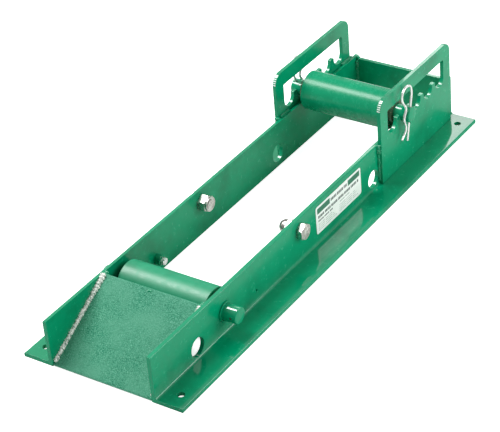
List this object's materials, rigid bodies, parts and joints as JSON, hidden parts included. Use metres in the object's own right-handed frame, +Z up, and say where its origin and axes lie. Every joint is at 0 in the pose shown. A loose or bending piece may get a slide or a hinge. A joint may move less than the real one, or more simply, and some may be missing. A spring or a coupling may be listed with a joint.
{
  "type": "cable reel roller stand",
  "caption": "Low steel frame that holds the flange of a cable reel on two rollers, with a loading ramp and an adjustable rear roller.",
  "frame": {"origin": "on the floor under the middle of the frame", "axes": "+Z up; +Y along the rails towards the adjustable roller and -Y towards the ramp; +X towards the rail with the label"},
  "size_m": [0.271, 0.845, 0.151],
  "materials": {
    "green_paint": "gloss enamel",
    "grit_paint": "gritty non-slip paint",
    "zinc_plate": "bright zinc plating",
    "bushing_bronze": "plain bearing bronze",
    "label_vinyl": "satin printed vinyl"
  },
  "bodies": {
    "frame": {"rail_left": "green_paint", "rail_right": "green_paint", "ramp_plate": "grit_paint", "ramp_weld_left": "green_paint", "ramp_weld_right": "green_paint", "end_plate": "green_paint", "end_weld_left": "green_paint", "end_weld_right": "green_paint", "side_plate_left": "green_paint", "side_plate_right": "green_paint", "side_weld_front_left": "green_paint", "side_weld_front_right": "green_paint", "side_weld_rear_left": "green_paint", "side_weld_rear_right": "green_paint", "front_axle": "green_paint", "front_axle_washer_left": "green_paint", "front_axle_washer_right": "green_paint", "front_axle_pin_left": "zinc_plate", "front_axle_pin_right": "zinc_plate", "guide_bolt_left": "zinc_plate", "guide_bolt_right": "zinc_plate", "guide_nut_left": "zinc_plate", "guide_nut_right": "zinc_plate", "stop_boss_left": "green_paint", "stop_boss_right": "green_paint", "stop_screw_left": "zinc_plate", "stop_screw_right": "zinc_plate", "label": "label_vinyl"},
    "front_roller": {"front_roller_tube": "green_paint", "front_roller_bushing_left": "bushing_bronze", "front_roller_bushing_right": "bushing_bronze"},
    "rear_axle": {"rear_axle": "green_paint"},
    "rear_roller": {"rear_roller_tube": "green_paint", "rear_roller_bushing_left": "bushing_bronze", "rear_roller_bushing_right": "bushing_bronze"},
    "clip_left": {"rear_clip_left": "zinc_plate"},
    "clip_right": {"rear_clip_right": "zinc_plate"}
  },
  "joints": [
    {"name": "front_roller_spin", "type": "hinge", "parent": "frame", "child": "front_roller", "pos_m": [0, -0.2485, 0.0395], "axis": [1, 0, 0], "continuous": true},
    {"name": "rear_axle_lift", "type": "slide", "parent": "frame", "child": "rear_axle", "axis": [0, 0, 1], "range_m": [0, 0.0175]},
    {"name": "rear_roller_spin", "type": "hinge", "parent": "rear_axle", "child": "rear_roller", "pos_m": [0, 0.2566, 0.0957], "axis": [1, 0, 0], "continuous": true},
    {"name": "clip_swing_left", "type": "hinge", "parent": "rear_axle", "child": "clip_left", "pos_m": [-0.1, 0.2566, 0.0957], "axis": [0, -0.309, 0.9511], "range_deg": [0, 90]},
    {"name": "clip_swing_right", "type": "hinge", "parent": "rear_axle", "child": "clip_right", "pos_m": [0.1065, 0.2566, 0.0957], "axis": [0, 0.225, 0.9744], "range_deg": [0, 90]}
  ]
}
